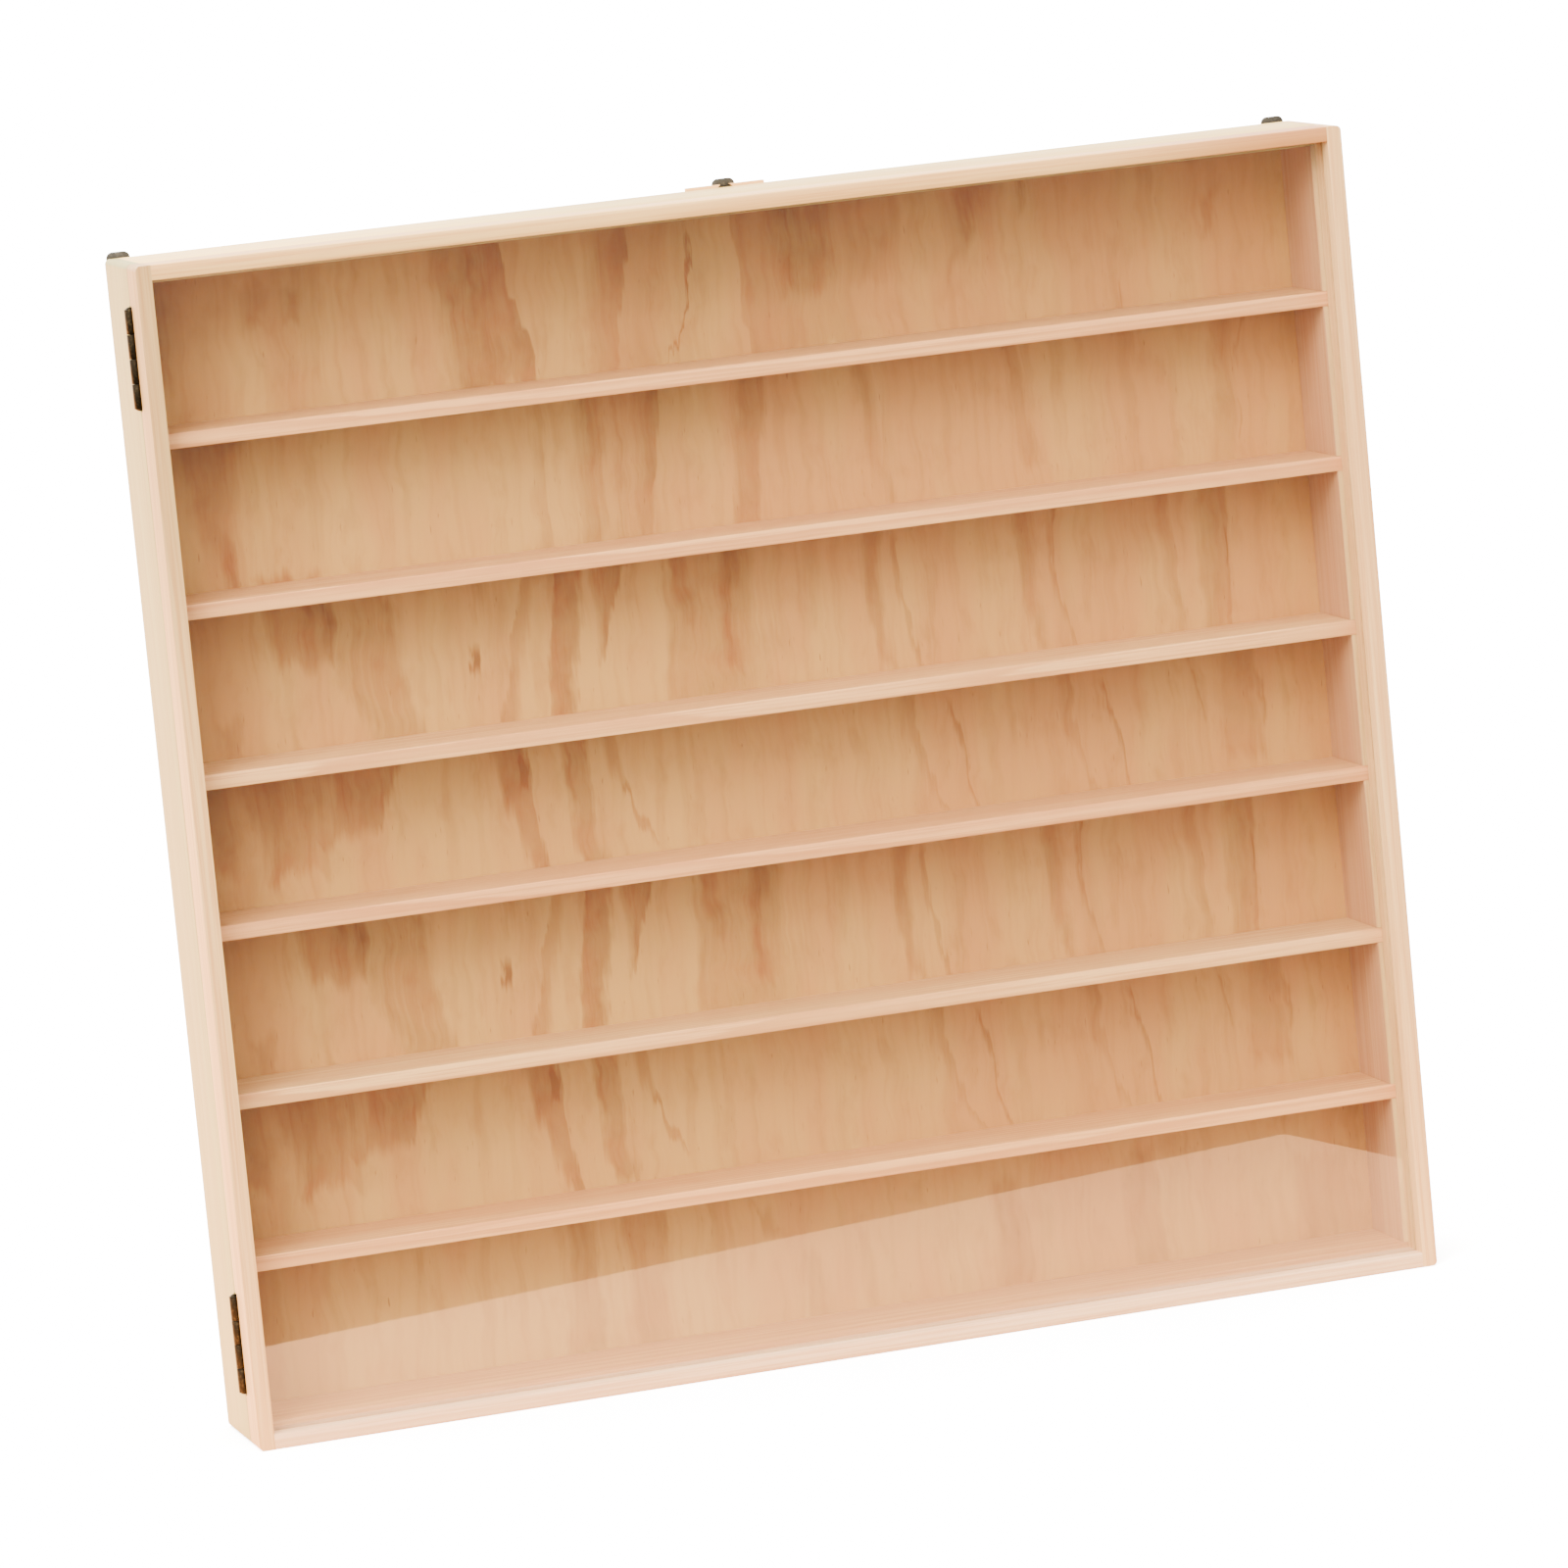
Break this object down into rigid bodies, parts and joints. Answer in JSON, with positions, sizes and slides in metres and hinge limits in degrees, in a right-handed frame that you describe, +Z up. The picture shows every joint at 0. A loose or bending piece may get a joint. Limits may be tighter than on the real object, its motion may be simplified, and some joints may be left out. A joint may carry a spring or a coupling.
{
  "type": "model car display case",
  "caption": "Shallow wooden wall cabinet with full-width shelves for model cars, behind a clear framed door on side hinges.",
  "frame": {"origin": "centre of the underside, half-way between the door's front and the case's back", "axes": "+X to the right as seen from the front, +Y towards the wall, +Z up"},
  "size_m": [0.4906, 0.0576, 0.4632],
  "materials": {
    "pine": "pale pine, smooth and lightly waxed",
    "shelf_pine": "pale pine, smooth",
    "plywood": "plywood with an upright orange-brown figure on cream",
    "clear_pane": "clear and polished",
    "bronzed_hinge": "bronzed, dull",
    "magnet": "nickel plated",
    "dark_hanger": "dark bronze paint",
    "brad": "bright steel"
  },
  "bodies": {
    "case": {"left_side": "pine", "right_side": "pine", "top_board": "pine", "bottom_board": "pine", "back_panel": "plywood", "shelf_1": "shelf_pine", "shelf_2": "shelf_pine", "shelf_3": "shelf_pine", "shelf_4": "shelf_pine", "shelf_5": "shelf_pine", "shelf_6": "shelf_pine", "upper_case_leaf": "bronzed_hinge", "upper_hinge_pin": "bronzed_hinge", "upper_case_screws": "bronzed_hinge", "lower_case_leaf": "bronzed_hinge", "lower_hinge_pin": "bronzed_hinge", "lower_case_screws": "bronzed_hinge", "case_magnets": "magnet", "left_hanger": "dark_hanger", "middle_hanger": "dark_hanger", "right_hanger": "dark_hanger", "hanger_block": "pine", "hanger_screws": "dark_hanger", "back_brads": "brad"},
    "door": {"door_left_stile": "pine", "door_right_stile": "pine", "door_top_rail": "pine", "door_bottom_rail": "pine", "clear_pane": "clear_pane", "upper_door_leaf": "bronzed_hinge", "lower_door_leaf": "bronzed_hinge", "upper_door_screws": "bronzed_hinge", "lower_door_screws": "bronzed_hinge", "door_magnets": "magnet"}
  },
  "joints": [
    {"name": "door_hinge", "type": "hinge", "parent": "case", "child": "door", "pos_m": [-0.2446, -0.01125, 0.23], "axis": [0, 0, -1], "range_deg": [0, 180]}
  ]
}
